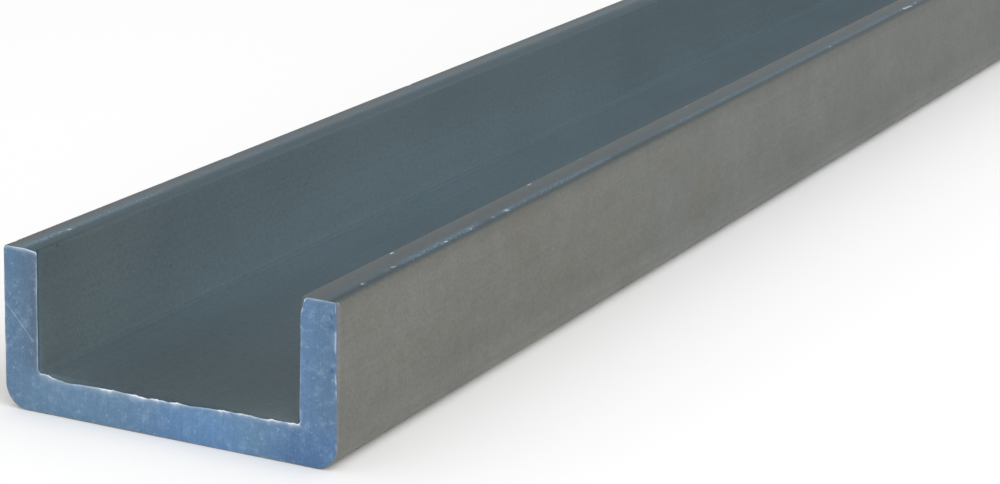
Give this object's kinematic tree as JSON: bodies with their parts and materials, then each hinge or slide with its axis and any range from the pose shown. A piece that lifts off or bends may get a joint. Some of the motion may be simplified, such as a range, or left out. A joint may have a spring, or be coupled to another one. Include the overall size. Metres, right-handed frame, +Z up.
{
  "type": "aluminium u-channel profile",
  "caption": "Extruded aluminium U-channel bar with a flat web, upright flanges, rounded outer corners and square sawn ends, for framing, edging and guiding.",
  "frame": {"origin": "middle of the underside of the web, half way along the bar", "axes": "+Y along the bar towards its far end, +X across to the right, seen from the near sawn end, +Z up from the web to the open side between the flange tips"},
  "size_m": [0.045, 0.5, 0.02],
  "materials": {
    "mill_aluminium": "plain mill finish, dulled by handling, with freshly sawn ends"
  },
  "bodies": {
    "root": {"channel": "mill_aluminium"}
  },
  "joints": []
}
